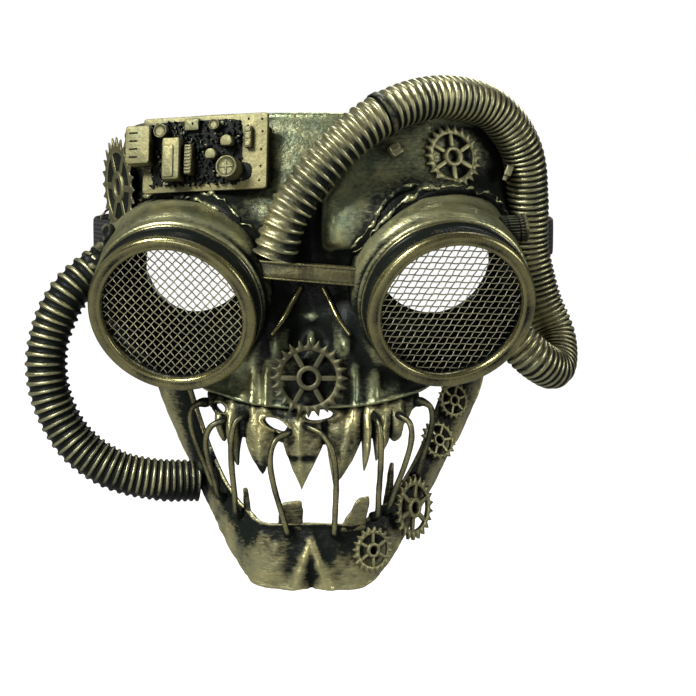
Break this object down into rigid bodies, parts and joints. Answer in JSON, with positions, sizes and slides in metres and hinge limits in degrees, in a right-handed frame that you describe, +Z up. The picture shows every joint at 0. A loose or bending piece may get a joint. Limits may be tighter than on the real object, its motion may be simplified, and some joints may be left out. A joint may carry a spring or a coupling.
{
  "type": "steampunk skull mask",
  "caption": "Half-face skull mask with screened goggles, fanged mouth, bent rods, ribbed hoses, spoked gears, a circuit board and an elastic head strap.",
  "frame": {"origin": "inside of the brow on the middle plane, where the wearer's forehead rests", "axes": "+Z up, -Y the way the face looks, +X to the right seen from the front"},
  "size_m": [0.2384, 0.1913, 0.2151],
  "materials": {
    "aged_brass": "antique brass paint over black moulded plastic, bright on raised edges and dark in the hollows",
    "bright_brass": "satin antique brass, worn brighter on the edges",
    "dark_brass": "dull dark brass paint on small moulded parts",
    "black_elastic": "woven black elastic"
  },
  "bodies": {
    "root": {"skull_shell": "aged_brass", "upper_teeth": "aged_brass", "lower_jaw": "aged_brass", "left_goggle_cup": "aged_brass", "right_goggle_cup": "aged_brass", "left_hose": "aged_brass", "main_hose": "aged_brass", "mouth_wire_1": "bright_brass", "mouth_wire_2": "bright_brass", "mouth_wire_3": "bright_brass", "mouth_wire_4": "bright_brass", "mouth_wire_5": "bright_brass", "mouth_wire_6": "bright_brass", "mouth_wire_7": "bright_brass", "mouth_wire_8": "bright_brass", "left_goggle_rim": "bright_brass", "right_goggle_rim": "bright_brass", "left_screen": "bright_brass", "right_screen": "bright_brass", "bridge_bar": "bright_brass", "left_nose_rod": "bright_brass", "right_nose_rod": "bright_brass", "nose_gear": "bright_brass", "forehead_gear": "bright_brass", "temple_gear": "bright_brass", "jaw_gear_1": "bright_brass", "jaw_gear_2": "bright_brass", "jaw_gear_3": "bright_brass", "jaw_gear_4": "bright_brass", "hose_clip": "bright_brass", "side_knob": "dark_brass", "circuit_board": "dark_brass", "plug_block": "dark_brass", "small_capacitor_1": "dark_brass", "transformer": "dark_brass", "coil_block": "dark_brass", "chip": "dark_brass", "small_capacitor_2": "dark_brass", "transistor_1": "dark_brass", "transistor_2": "dark_brass", "large_capacitor": "dark_brass", "diode": "dark_brass", "head_strap": "black_elastic"}
  },
  "joints": []
}
